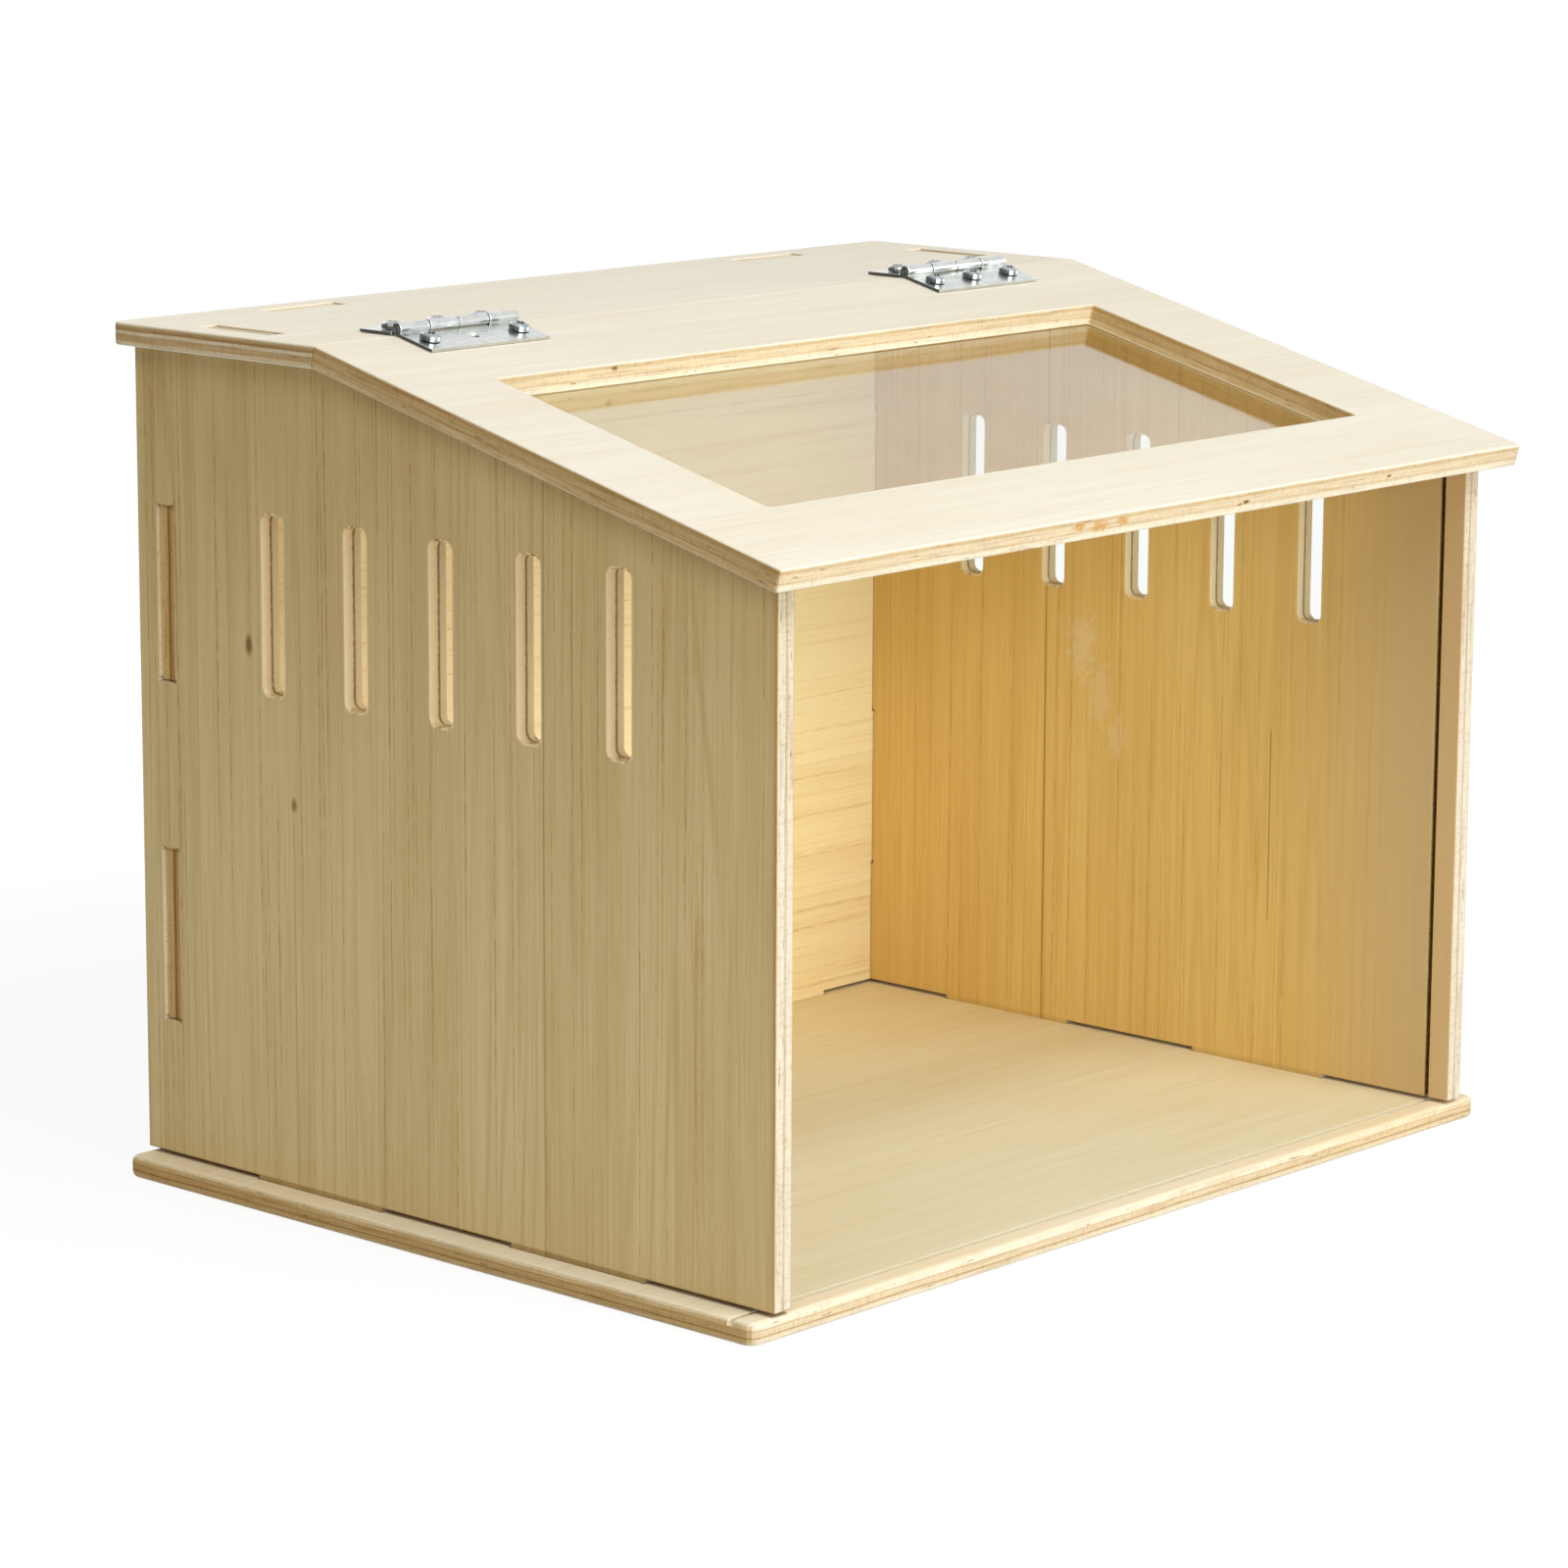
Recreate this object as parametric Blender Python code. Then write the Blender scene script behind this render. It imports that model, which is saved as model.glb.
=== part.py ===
"""Plywood feeder box: slotted panels, a clear front and a window lid on two butt hinges.

Metres, +Z up, front towards -Y. The origin is on the ground under the middle of the box.
The panels are cut from one plywood sheet and held together by tabs in mortises.
"""

from math import acos, asin, cos, pi, radians, sin, tan

import bmesh
import bpy
from mathutils import Matrix, Vector

for old in list(bpy.data.objects):
    bpy.data.objects.remove(old)

# Sheets
PLY = 0.009
ACRYLIC = 0.002

# Fits
SEAT = 0.0003  # between faces that rest on each other
TAB_FIT = 0.0003  # between a tab and its mortise
SHOULDER_GAP = 0.0015  # between the panels' shoulders and the base
EAVE_GAP = 0.0006  # between the panels' shoulders and the roof

# Box
BODY_WIDTH = 0.428  # over the side panels
BODY_DEPTH = 0.342  # front edge to back edge of the side panels
ROOF_TOP = 0.346  # roof's top face above the ground
ROOF_DEPTH = 0.116  # ridge to the side panels' back edges
LID_SLOPE = radians(13.9)
SIDE_OVERHANG = 0.012  # base, roof and lid past the side panels
LID_OVERHANG = 0.013  # lid past the side panels' front edges
RIDGE_GAP = 0.0008  # joint between lid and roof
BACK_INSET = 0.011  # back panel in from the side panels' back edges

# Outer corners in plan, and the rounding of the edges over and under them
BASE_CORNER = 0.005
BASE_ROUND_OVER = 0.0025
ROOF_CORNER = 0.004
LID_CORNER = 0.0015
COVER_ROUND_OVER = 0.0008  # roof and lid

# Tabs and mortises
TAB_LENGTH = 0.070  # into the base and the side panels
ROOF_TAB_LENGTH = 0.040  # into the roof
TAB_RECESS = 0.0008  # tab ends below the faces of base and roof
SIDE_TAB_RECESS = 0.0019  # back panel's tab ends below the side panels' faces
SIDE_TAB_SPREAD = 0.141  # between the two tabs under a side panel
BACK_TAB_SPREAD = 0.276  # between the back panel's tabs, across
BACK_TAB_RISE = 0.138  # between the back panel's tabs, up
BACK_TAB_DROP = 0.004  # their middle below the panel's middle
RELIEF_RADIUS = 0.0012  # cutter relief in a mortise's corners

# Vent slots
SLOT_COUNT = 5
SLOT_PITCH = 0.0465
SLOT_WIDTH = 0.012
SLOT_LENGTH = 0.071
SLOT_CORNER = 0.0035
SLOT_DROP = 0.0045  # slot tops below the side panels' front corners

# Lid and clear sheets
REAR_RAIL = 0.051
FRONT_RAIL = 0.0507
SIDE_RAIL = 0.047
WINDOW_CORNER = 0.0015
PANE_LAP = 0.015  # window pane past the window, under the rails
GROOVE_SETBACK = 0.0099  # front pane's grooves behind the front edges
GROOVE_DEPTH = 0.004  # in the side panels
BASE_GROOVE_DEPTH = 0.0025
PANE_FIT = 0.0003  # between the front pane and its grooves
PANE_HEADROOM = 0.001  # between the front pane and the lid
SHEET_ARRIS = 0.0004  # broken edges of the clear sheets

# Hinges
LEFT_HINGE_INSET = 0.0747  # hinge's middle in from the lid's end
RIGHT_HINGE_INSET = 0.0810
HINGE_LENGTH = 0.064
LEAF_WIDTH = 0.0205  # pin axis to leaf edge
LEAF = 0.0012
PIN_RADIUS = 0.0011
PIN_PLAY = 0.0002
END_KNUCKLE = 0.016  # lid leaf's knuckle at each end of the pin
KNUCKLE_GAP = 0.0005  # between the leaves' knuckles, and from a knuckle to the other leaf
KNUCKLE_SEAM = 0.00025  # between the roof leaf's two knuckles

# Screws
SCREW_PITCH = 0.024
SCREW_REACH = 0.0108  # pin axis to the row of screws
SCREW_RADIUS = 0.0017
SCREW_LENGTH = 0.0085  # under the head
SCREW_TIP = 0.003
TIP_RADIUS = 0.0004
HEAD_RADIUS = 0.0042
HEAD_HEIGHT = 0.0026
HEAD_SHAPE = ((1.0, 0.0), (1.0, 0.4), (0.93, 0.7), (0.76, 0.92), (0.5, 1.0))  # shares of radius and height
SINK_RADIUS = 0.0031  # countersink of a leaf's hole
SINK_DEPTH = 0.0008
DRIVE_SPAN = 0.0040
DRIVE_WIDTH = 0.0010
DRIVE_DEPTH = 0.0014

# Facets of the round shapes
CORNER_STEPS = 4
ROUND_OVER_STEPS = 3
RELIEF_STEPS = 6
HINGE_STEPS = 24
SCREW_STEPS = 16
SMOOTH_LIMIT = radians(36)

# Places that follow from the sizes above
LID_REACH = LID_OVERHANG - COVER_ROUND_OVER * (sin(LID_SLOPE) + cos(LID_SLOPE) - 1)
FRONT = (LID_REACH - BODY_DEPTH) / 2
BACK = FRONT + BODY_DEPTH
MIDDLE = (FRONT + BACK) / 2
RIDGE = BACK - ROOF_DEPTH
HALF_WIDTH = BODY_WIDTH / 2
HALF_INNER = HALF_WIDTH - PLY
HALF_COVER = HALF_WIDTH + SIDE_OVERHANG
SHOULDER = PLY + SHOULDER_GAP
EAVE = ROOF_TOP - PLY - EAVE_GAP
BACK_FACE = BACK - BACK_INSET
BACK_MIDDLE = BACK_FACE - PLY / 2
BACK_TAB_Z = (SHOULDER + EAVE) / 2 - BACK_TAB_DROP
ROOF_TAB_Y = (RIDGE + BACK) / 2
KNUCKLE_RADIUS = PIN_RADIUS + PIN_PLAY + LEAF
AXIS_RISE = KNUCKLE_RADIUS + SEAT
AXIS_Y = RIDGE - AXIS_RISE * tan(LID_SLOPE / 2)
AXIS_Z = ROOF_TOP + AXIS_RISE
LID_FRONT = AXIS_RISE * tan(LID_SLOPE / 2) - (RIDGE - FRONT + LID_OVERHANG) / cos(LID_SLOPE)
HALF_WINDOW = HALF_COVER - SIDE_RAIL
GROOVE_FRONT = FRONT + GROOVE_SETBACK
GROOVE_BACK = GROOVE_FRONT + ACRYLIC + 2 * PANE_FIT
LEFT_HINGE = LEFT_HINGE_INSET - HALF_COVER
RIGHT_HINGE = HALF_COVER - RIGHT_HINGE_INSET
PILOT_RADIUS = SCREW_RADIUS + SEAT
SCREW_SEAT = LEAF + SEAT - KNUCKLE_RADIUS

# Turns a flat outline upright: first axis to +Y, second to +Z, thickness to +X
UPRIGHT = Matrix(((0, 0, 1, 0), (1, 0, 0, 0), (0, 1, 0, 0), (0, 0, 0, 1)))


def lid_under(y):
    """Height of the lid's underside over a place on the depth axis."""
    return ROOF_TOP - (RIDGE - y) * tan(LID_SLOPE) - PLY / cos(LID_SLOPE)


def lid_seat(y):
    """Height of the side panels' sloped edges, which carry the lid."""
    return lid_under(y) - SEAT / cos(LID_SLOPE)


def material(name, colour, roughness, metallic=0.0, transmission=0.0):
    made = bpy.data.materials.new(name)
    made.use_nodes = True
    shader = made.node_tree.nodes["Principled BSDF"]
    shader.inputs["Base Color"].default_value = (*colour, 1.0)
    shader.inputs["Roughness"].default_value = roughness
    shader.inputs["Metallic"].default_value = metallic
    shader.inputs["Transmission Weight"].default_value = transmission
    return made


def add_object(name, mesh, look=None, parent=None, location=(0, 0, 0), rotation=(0, 0, 0)):
    made = bpy.data.objects.new(name, mesh)
    made.parent = parent
    made.location = location
    made.rotation_euler = rotation
    if look and not mesh.materials:
        mesh.materials.append(look)
    bpy.context.scene.collection.objects.link(made)
    return made


def finish(name, bm):
    bmesh.ops.recalc_face_normals(bm, faces=bm.faces)
    mesh = bpy.data.meshes.new(name)
    bm.to_mesh(mesh)
    bm.free()
    mesh.shade_smooth()
    mesh.set_sharp_from_angle(angle=SMOOTH_LIMIT)
    return mesh


def cut(target, mesh):
    """Take away a hidden tool that shares the target's axes."""
    tool = add_object(mesh.name, mesh, parent=target)
    tool.hide_render = True
    tool.display_type = "WIRE"
    modifier = target.modifiers.new(mesh.name, "BOOLEAN")
    modifier.operation = "DIFFERENCE"
    modifier.solver = "EXACT"
    modifier.object = tool


def arc(centre, radius, start, end, steps):
    """Points along an arc, both ends included."""
    angles = [start + (end - start) * i / steps for i in range(steps + 1)]
    return [(centre[0] + radius * cos(a), centre[1] + radius * sin(a)) for a in angles]


def circle(centre, radius, steps):
    return arc(centre, radius, 0, 2 * pi, steps)[:-1]


def rounded_rectangle(low, high, radius):
    """Counter-clockwise outline with round corners."""
    points = []
    for quarter, (x, y) in enumerate(((1, -1), (1, 1), (-1, 1), (-1, -1))):
        corner = (high[0] if x > 0 else low[0], high[1] if y > 0 else low[1])
        centre = (corner[0] - x * radius, corner[1] - y * radius)
        start = (quarter - 1) * pi / 2
        points += arc(centre, radius, start, start + pi / 2, CORNER_STEPS)
    return points


def mortise(centre, length):
    """Outline of a mortise along the first axis, with a round relief past each corner."""
    inset = RELIEF_RADIUS / 2
    half_length = length / 2 + TAB_FIT - inset
    half_width = PLY / 2 + TAB_FIT - inset
    sweep = pi / 4 + acos(inset / RELIEF_RADIUS)
    points = []
    for quarter, (x, y) in enumerate(((1, -1), (1, 1), (-1, 1), (-1, -1))):
        middle = (centre[0] + x * half_length, centre[1] + y * half_width)
        diagonal = (quarter - 0.5) * pi / 2
        points += arc(middle, RELIEF_RADIUS, diagonal - sweep, diagonal + sweep, RELIEF_STEPS)
    return points


def crossways(outline):
    """The same outline along the second axis."""
    return [(y, x) for x, y in outline]


def tabbed_edge(start, end, tabs, length, reach):
    """Points along an edge of a counter-clockwise outline; tabs stand out at these distances."""
    origin = Vector(start)
    along = (Vector(end) - origin).normalized()
    outward = Vector((along.y, -along.x))
    points = [origin]
    for place in tabs:
        for step, rise in ((-1, 0), (-1, reach), (1, reach), (1, 0)):
            points.append(origin + along * (place + step * length / 2) + outward * rise)
    return [tuple(point) for point in points]


def solids(name, shapes):
    """Separate extrusions in one mesh: each has its loops, outline first, and two heights."""
    bm = bmesh.new()
    for loops, bottom, top in shapes:
        edges = []
        for loop in loops:
            ring = [bm.verts.new((x, y, bottom)) for x, y in loop]
            edges += [bm.edges.new((ring[i - 1], vert)) for i, vert in enumerate(ring)]
        filled = bmesh.ops.triangle_fill(bm, edges=edges, use_beauty=True)["geom"]
        faces = [item for item in filled if isinstance(item, bmesh.types.BMFace)]
        raise_faces(bm, faces, top - bottom)
    return finish(name, bm)


def raise_faces(bm, faces, height):
    raised = bmesh.ops.extrude_face_region(bm, geom=faces)["geom"]
    verts = [item for item in raised if isinstance(item, bmesh.types.BMVert)]
    bmesh.ops.translate(bm, verts=verts, vec=(0, 0, height))


def rounded_board(name, low, high, bottom, corner, round_over, saw_point=None, saw_normal=None):
    """Board with round corners and rounded-over edges, sawn off square to a normal if one is given."""
    bm = bmesh.new()
    outline = rounded_rectangle(low, high, corner)
    face = bm.faces.new([bm.verts.new((x, y, bottom)) for x, y in outline])
    raise_faces(bm, [face], PLY)
    rims = [edge for edge in bm.edges if abs(edge.verts[0].co.z - edge.verts[1].co.z) < PLY / 2]
    bmesh.ops.bevel(
        bm, geom=rims, offset=round_over, segments=ROUND_OVER_STEPS, profile=0.5, affect="EDGES"
    )
    if saw_normal:
        everything = bm.verts[:] + bm.edges[:] + bm.faces[:]
        sawn = bmesh.ops.bisect_plane(
            bm, geom=everything, plane_co=saw_point, plane_no=saw_normal, clear_outer=True
        )["geom_cut"]
        rim = [item for item in sawn if isinstance(item, bmesh.types.BMEdge)]
        bmesh.ops.edgeloop_fill(bm, edges=rim)
    return finish(name, bm)


def sheet(name, low, high):
    """Clear sheet between two corners, its edges broken."""
    bm = bmesh.new()
    bmesh.ops.create_cube(bm, size=1.0)
    size = Vector(high) - Vector(low)
    bmesh.ops.scale(bm, verts=bm.verts, vec=size)
    bmesh.ops.translate(bm, verts=bm.verts, vec=(Vector(low) + Vector(high)) / 2)
    bmesh.ops.bevel(bm, geom=bm.edges, offset=SHEET_ARRIS, segments=1, affect="EDGES")
    return finish(name, bm)


def pilot_holes(columns, row, top):
    """Blind holes for screws down from a board's top face."""
    depth = SCREW_LENGTH - LEAF - SEAT
    return [([circle((x, row), PILOT_RADIUS, SCREW_STEPS)], top - depth, top + SEAT) for x in columns]


def side_panel(name, x, groove_low, groove_high, look):
    """Upright panel; its outline lies in depth and height, and the groove is on its inner face."""
    knee = RIDGE - (lid_seat(RIDGE) - EAVE) / tan(LID_SLOPE)
    half_depth = BODY_DEPTH / 2
    low_tabs = (half_depth - SIDE_TAB_SPREAD / 2, half_depth + SIDE_TAB_SPREAD / 2)
    outline = tabbed_edge((FRONT, SHOULDER), (BACK, SHOULDER), low_tabs, TAB_LENGTH, SHOULDER - TAB_RECESS)
    outline.append((BACK, SHOULDER))
    high_reach = ROOF_TOP - TAB_RECESS - EAVE
    outline += tabbed_edge((BACK, EAVE), (knee, EAVE), [BACK - ROOF_TAB_Y], ROOF_TAB_LENGTH, high_reach)
    outline += [(knee, EAVE), (FRONT, lid_seat(FRONT))]
    slot_top = lid_seat(FRONT) - SLOT_DROP
    loops = [outline]
    for i in range(SLOT_COUNT):
        centre = MIDDLE + (i - (SLOT_COUNT - 1) / 2) * SLOT_PITCH
        low = (centre - SLOT_WIDTH / 2, slot_top - SLOT_LENGTH)
        high = (centre + SLOT_WIDTH / 2, slot_top)
        loops.append(rounded_rectangle(low, high, SLOT_CORNER))
    for side in (-1, 1):
        place = (BACK_TAB_Z + side * BACK_TAB_RISE / 2, BACK_MIDDLE)
        loops.append(crossways(mortise(place, TAB_LENGTH)))
    mesh = solids(name, [(loops, 0, PLY)])
    panel = add_object(name, mesh, look, location=(x, 0, 0), rotation=UPRIGHT.to_euler())
    track = [(GROOVE_FRONT, 0), (GROOVE_BACK, 0), (GROOVE_BACK, ROOF_TOP), (GROOVE_FRONT, ROOF_TOP)]
    cut(panel, solids(name + "_groove", [([track], groove_low, groove_high)]))


def back_panel(look):
    """Upright panel between the side panels, tabbed on all four edges."""
    half = HALF_INNER - SEAT
    height = EAVE - SHOULDER
    across = (half - BACK_TAB_SPREAD / 2, half + BACK_TAB_SPREAD / 2)
    middle = BACK_TAB_Z - SHOULDER
    up = (middle - BACK_TAB_RISE / 2, middle + BACK_TAB_RISE / 2)
    down = (height - up[1], height - up[0])
    side_reach = HALF_WIDTH - SIDE_TAB_RECESS - half
    corners = ((-half, SHOULDER), (half, SHOULDER), (half, EAVE), (-half, EAVE))
    outline = tabbed_edge(corners[0], corners[1], across, TAB_LENGTH, SHOULDER - TAB_RECESS)
    outline += tabbed_edge(corners[1], corners[2], up, TAB_LENGTH, side_reach)
    outline += tabbed_edge(corners[2], corners[3], across, ROOF_TAB_LENGTH, ROOF_TOP - TAB_RECESS - EAVE)
    outline += tabbed_edge(corners[3], corners[0], down, TAB_LENGTH, side_reach)
    mesh = solids("back_panel", [([outline], 0, PLY)])
    add_object("back_panel", mesh, look, location=(0, BACK_FACE, 0), rotation=(pi / 2, 0, 0))


def panel_mortises(side_places, side_length, back_length, bottom, top):
    """Mortises through a level board for the side panels' and the back panel's tabs."""
    outlines = []
    for side in (-1, 1):
        for y in side_places:
            outlines.append(crossways(mortise((y, side * (HALF_WIDTH - PLY / 2)), side_length)))
        outlines.append(mortise((side * BACK_TAB_SPREAD / 2, BACK_MIDDLE), back_length))
    return [([outline], bottom - SEAT, top + SEAT) for outline in outlines]


def base_panel(look):
    """Board under the box, with a groove for the front pane from end to end."""
    low = (-HALF_COVER, FRONT)
    high = (HALF_COVER, BACK)
    mesh = rounded_board("base_panel", low, high, 0, BASE_CORNER, BASE_ROUND_OVER)
    base = add_object("base_panel", mesh, look)
    places = (MIDDLE - SIDE_TAB_SPREAD / 2, MIDDLE + SIDE_TAB_SPREAD / 2)
    openings = panel_mortises(places, TAB_LENGTH, TAB_LENGTH, 0, PLY)
    end = HALF_COVER + SEAT
    track = [(-end, GROOVE_FRONT), (end, GROOVE_FRONT), (end, GROOVE_BACK), (-end, GROOVE_BACK)]
    openings.append(([track], PLY - BASE_GROOVE_DEPTH, PLY + SEAT))
    cut(base, solids("base_openings", openings))


def roof_panel(look):
    """Level board behind the ridge, its front edge sawn to the lid's slope."""
    bottom = ROOF_TOP - PLY
    spare = ROOF_CORNER + COVER_ROUND_OVER
    saw = (0, -cos(LID_SLOPE), -sin(LID_SLOPE))
    mesh = rounded_board(
        "roof_panel", (-HALF_COVER, RIDGE - spare), (HALF_COVER, BACK), bottom,
        ROOF_CORNER, COVER_ROUND_OVER, (0, RIDGE + RIDGE_GAP / 2, ROOF_TOP), saw,
    )
    roof = add_object("roof_panel", mesh, look)
    openings = panel_mortises([ROOF_TAB_Y], ROOF_TAB_LENGTH, ROOF_TAB_LENGTH, bottom, ROOF_TOP)
    for middle in (LEFT_HINGE, RIGHT_HINGE):
        openings += pilot_holes(screw_columns(middle), AXIS_Y + SCREW_REACH, ROOF_TOP)
    cut(roof, solids("roof_openings", openings))


def screw_columns(middle):
    """Places across the box of one hinge's three screws."""
    return [middle + step * SCREW_PITCH for step in (-1, 0, 1)]


def lid_frame(axis, look):
    """Sloped board in the lid's own axes, with its window."""
    top = -AXIS_RISE
    spare = LID_CORNER + COVER_ROUND_OVER
    mesh = rounded_board(
        "lid_frame", (-HALF_COVER, LID_FRONT), (HALF_COVER, spare), top - PLY,
        LID_CORNER, COVER_ROUND_OVER, (0, -RIDGE_GAP / 2, top), (0, 1, 0),
    )
    lid = add_object("lid_frame", mesh, look, axis)
    low = (-HALF_WINDOW, LID_FRONT + FRONT_RAIL)
    high = (HALF_WINDOW, -REAR_RAIL)
    window = [rounded_rectangle(low, high, WINDOW_CORNER)]
    openings = [(window, top - PLY - SEAT, top + SEAT)]
    openings += pilot_holes(screw_columns(LEFT_HINGE)[::2] + screw_columns(RIGHT_HINGE), -SCREW_REACH, top)
    cut(lid, solids("lid_openings", openings))


def window_pane(axis, look):
    top = -AXIS_RISE - PLY - SEAT
    low = (-HALF_WINDOW - PANE_LAP, LID_FRONT + FRONT_RAIL - PANE_LAP, top - ACRYLIC)
    high = (HALF_WINDOW + PANE_LAP, PANE_LAP - REAR_RAIL, top)
    add_object("window_pane", sheet("window_pane", low, high), look, axis)


def front_pane(look):
    """Clear sheet in the grooves of the base and the side panels, under the lid."""
    face = GROOVE_FRONT + PANE_FIT
    half = HALF_INNER + GROOVE_DEPTH - PANE_FIT
    low = (-half, face, PLY - BASE_GROOVE_DEPTH + SEAT)
    high = (half, face + ACRYLIC, lid_under(face) - PANE_HEADROOM)
    add_object("front_pane", sheet("front_pane", low, high), look)


def turned(name, profile, places):
    """Profile of radii and heights spun about an upright axis at each place, its ends closed."""
    bm = bmesh.new()
    for x, y in places:
        verts = [bm.verts.new((x + radius, y, height)) for radius, height in profile]
        edges = [bm.edges.new(pair) for pair in zip(verts, verts[1:])]
        bmesh.ops.spin(
            bm, geom=verts + edges, axis=(0, 0, 1), cent=(x, y, 0), angle=2 * pi,
            steps=SCREW_STEPS, use_merge=True,
        )
    bmesh.ops.holes_fill(bm, edges=[edge for edge in bm.edges if edge.is_boundary])
    return finish(name, bm)


def hinge_leaf(name, notches, look, parent, location, rotation):
    """Leaf along +Y from the pin axis, rolled over the pin and notched for the other leaf's knuckles."""
    half = HINGE_LENGTH / 2
    bottom = -KNUCKLE_RADIUS
    face = bottom + LEAF
    start = -asin((KNUCKLE_RADIUS - LEAF) / KNUCKLE_RADIUS)
    roll = arc((0, 0), KNUCKLE_RADIUS, start, 1.5 * pi, HINGE_STEPS)
    profile = roll + [(LEAF_WIDTH, bottom), (LEAF_WIDTH, face)]
    bore = circle((0, 0), PIN_RADIUS + PIN_PLAY, HINGE_STEPS)
    mesh = solids(name, [([profile, bore], -half, half)])
    mesh.transform(UPRIGHT)
    leaf = add_object(name, mesh, look, parent, location, rotation)
    root = KNUCKLE_RADIUS + KNUCKLE_GAP
    reach = KNUCKLE_RADIUS + SEAT
    boxes = []
    for left, right in notches:
        outline = [(left, -reach), (right, -reach), (right, root), (left, root)]
        boxes.append(([outline], -reach, reach))
    cut(leaf, solids(name + "_notches", boxes))
    sink = [(PILOT_RADIUS, -reach), (PILOT_RADIUS, face - SINK_DEPTH)]
    sink += [(SINK_RADIUS, face), (SINK_RADIUS, face + SEAT)]
    holes = [(step * SCREW_PITCH, SCREW_REACH) for step in (-1, 0, 1)]
    cut(leaf, turned(name + "_holes", sink, holes))


def hinge(name, x, axis, look):
    """Butt hinge: the lid leaf has the end knuckles and the roof leaf the two between them."""
    half = HINGE_LENGTH / 2
    inner = half - END_KNUCKLE
    lid_notches = [(-inner - KNUCKLE_GAP / 2, inner + KNUCKLE_GAP / 2)]
    roof_notches = [
        (-half - SEAT, -inner + KNUCKLE_GAP / 2),
        (-KNUCKLE_SEAM / 2, KNUCKLE_SEAM / 2),
        (inner - KNUCKLE_GAP / 2, half + SEAT),
    ]
    hinge_leaf(name + "_roof_leaf", roof_notches, look, None, (x, AXIS_Y, AXIS_Z), (0, 0, 0))
    hinge_leaf(name + "_lid_leaf", lid_notches, look, axis, (x, 0, 0), (0, 0, pi))
    pin = solids(name + "_pin", [([circle((0, 0), PIN_RADIUS, HINGE_STEPS)], -half, half)])
    pin.transform(UPRIGHT)
    add_object(name + "_pin", pin, look, location=(x, AXIS_Y, AXIS_Z))


def screw_mesh():
    """Pan head screw with its seat at the origin and a cross recess."""
    profile = [(TIP_RADIUS, -SCREW_LENGTH), (SCREW_RADIUS, SCREW_TIP - SCREW_LENGTH), (SCREW_RADIUS, 0)]
    profile += [(HEAD_RADIUS * wide, HEAD_HEIGHT * high) for wide, high in HEAD_SHAPE]
    blank = add_object("screw_blank", turned("screw", profile, [(0, 0)]))
    span = DRIVE_SPAN / 2
    width = DRIVE_WIDTH / 2
    cross = []
    for quarter in range(4):
        turn = Matrix.Rotation(quarter * pi / 2, 2)
        cross += [tuple(turn @ Vector(point)) for point in ((width, -width), (span, -width), (span, width))]
    recess = solids("screw_recess", [([cross], HEAD_HEIGHT - DRIVE_DEPTH, HEAD_HEIGHT + SEAT)])
    cut(blank, recess)
    evaluated = blank.evaluated_get(bpy.context.evaluated_depsgraph_get())
    mesh = bpy.data.meshes.new_from_object(evaluated)
    for spare in (*blank.children, blank):
        bpy.data.objects.remove(spare)
    return mesh


def screws(name, columns, row, mesh, look, parent=None, height=0.0):
    for number, x in columns:
        add_object(f"{name}_{number}", mesh, look, parent, (x, row, height + SCREW_SEAT))


def feeder():
    plywood = material("plywood", (0.72, 0.58, 0.38), 0.6)
    acrylic = material("acrylic", (0.95, 0.97, 0.96), 0.04, transmission=1.0)
    zinc = material("zinc", (0.72, 0.72, 0.70), 0.32, metallic=1.0)

    base_panel(plywood)
    side_panel("left_side_panel", -HALF_WIDTH, PLY - GROOVE_DEPTH, PLY + SEAT, plywood)
    side_panel("right_side_panel", HALF_INNER, -SEAT, GROOVE_DEPTH, plywood)
    back_panel(plywood)
    roof_panel(plywood)
    front_pane(acrylic)

    axis = add_object("lid_axis", None, location=(0, AXIS_Y, AXIS_Z), rotation=(LID_SLOPE, 0, 0))
    lid_frame(axis, plywood)
    window_pane(axis, acrylic)

    fastener = screw_mesh()
    for name, middle in (("left", LEFT_HINGE), ("right", RIGHT_HINGE)):
        hinge(name + "_hinge", middle, axis, zinc)
        columns = list(enumerate(screw_columns(middle), 1))
        screws(name + "_roof_screw", columns, AXIS_Y + SCREW_REACH, fastener, zinc, height=AXIS_Z)
        fitted = columns[::2] if name == "left" else columns
        screws(name + "_lid_screw", fitted, -SCREW_REACH, fastener, zinc, axis)


feeder()
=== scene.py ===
"""Looks of the plywood feeder box: slotted panels, a clear front and a window lid on two butt hinges.

Metres, +Z up, front towards -Y. A point's Object coordinates are its place in the closed box.
"""

from math import cos, radians, sin, tan

import bpy
from mathutils import Matrix, Vector

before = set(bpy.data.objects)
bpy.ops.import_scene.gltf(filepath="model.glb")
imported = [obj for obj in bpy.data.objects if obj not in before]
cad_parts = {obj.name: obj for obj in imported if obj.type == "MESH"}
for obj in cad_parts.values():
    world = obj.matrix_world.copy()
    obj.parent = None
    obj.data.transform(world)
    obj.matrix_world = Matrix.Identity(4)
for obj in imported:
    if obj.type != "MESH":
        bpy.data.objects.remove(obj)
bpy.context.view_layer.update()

# Base panel: one sheet of 9 mm poplar plywood with its grain across the box. Its outer edges are rounded
# over with a router, and the side and back panels stand in mortises cut through it.
PLY = 0.009
ARRIS = 0.0003  # sharp edges, broken by a stroke of sandpaper
ARRIS_ANGLE = radians(40)
FLAT_ANGLE = radians(1)
WELD = 0.000002
FACE_VENEER = 0.0003


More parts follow.
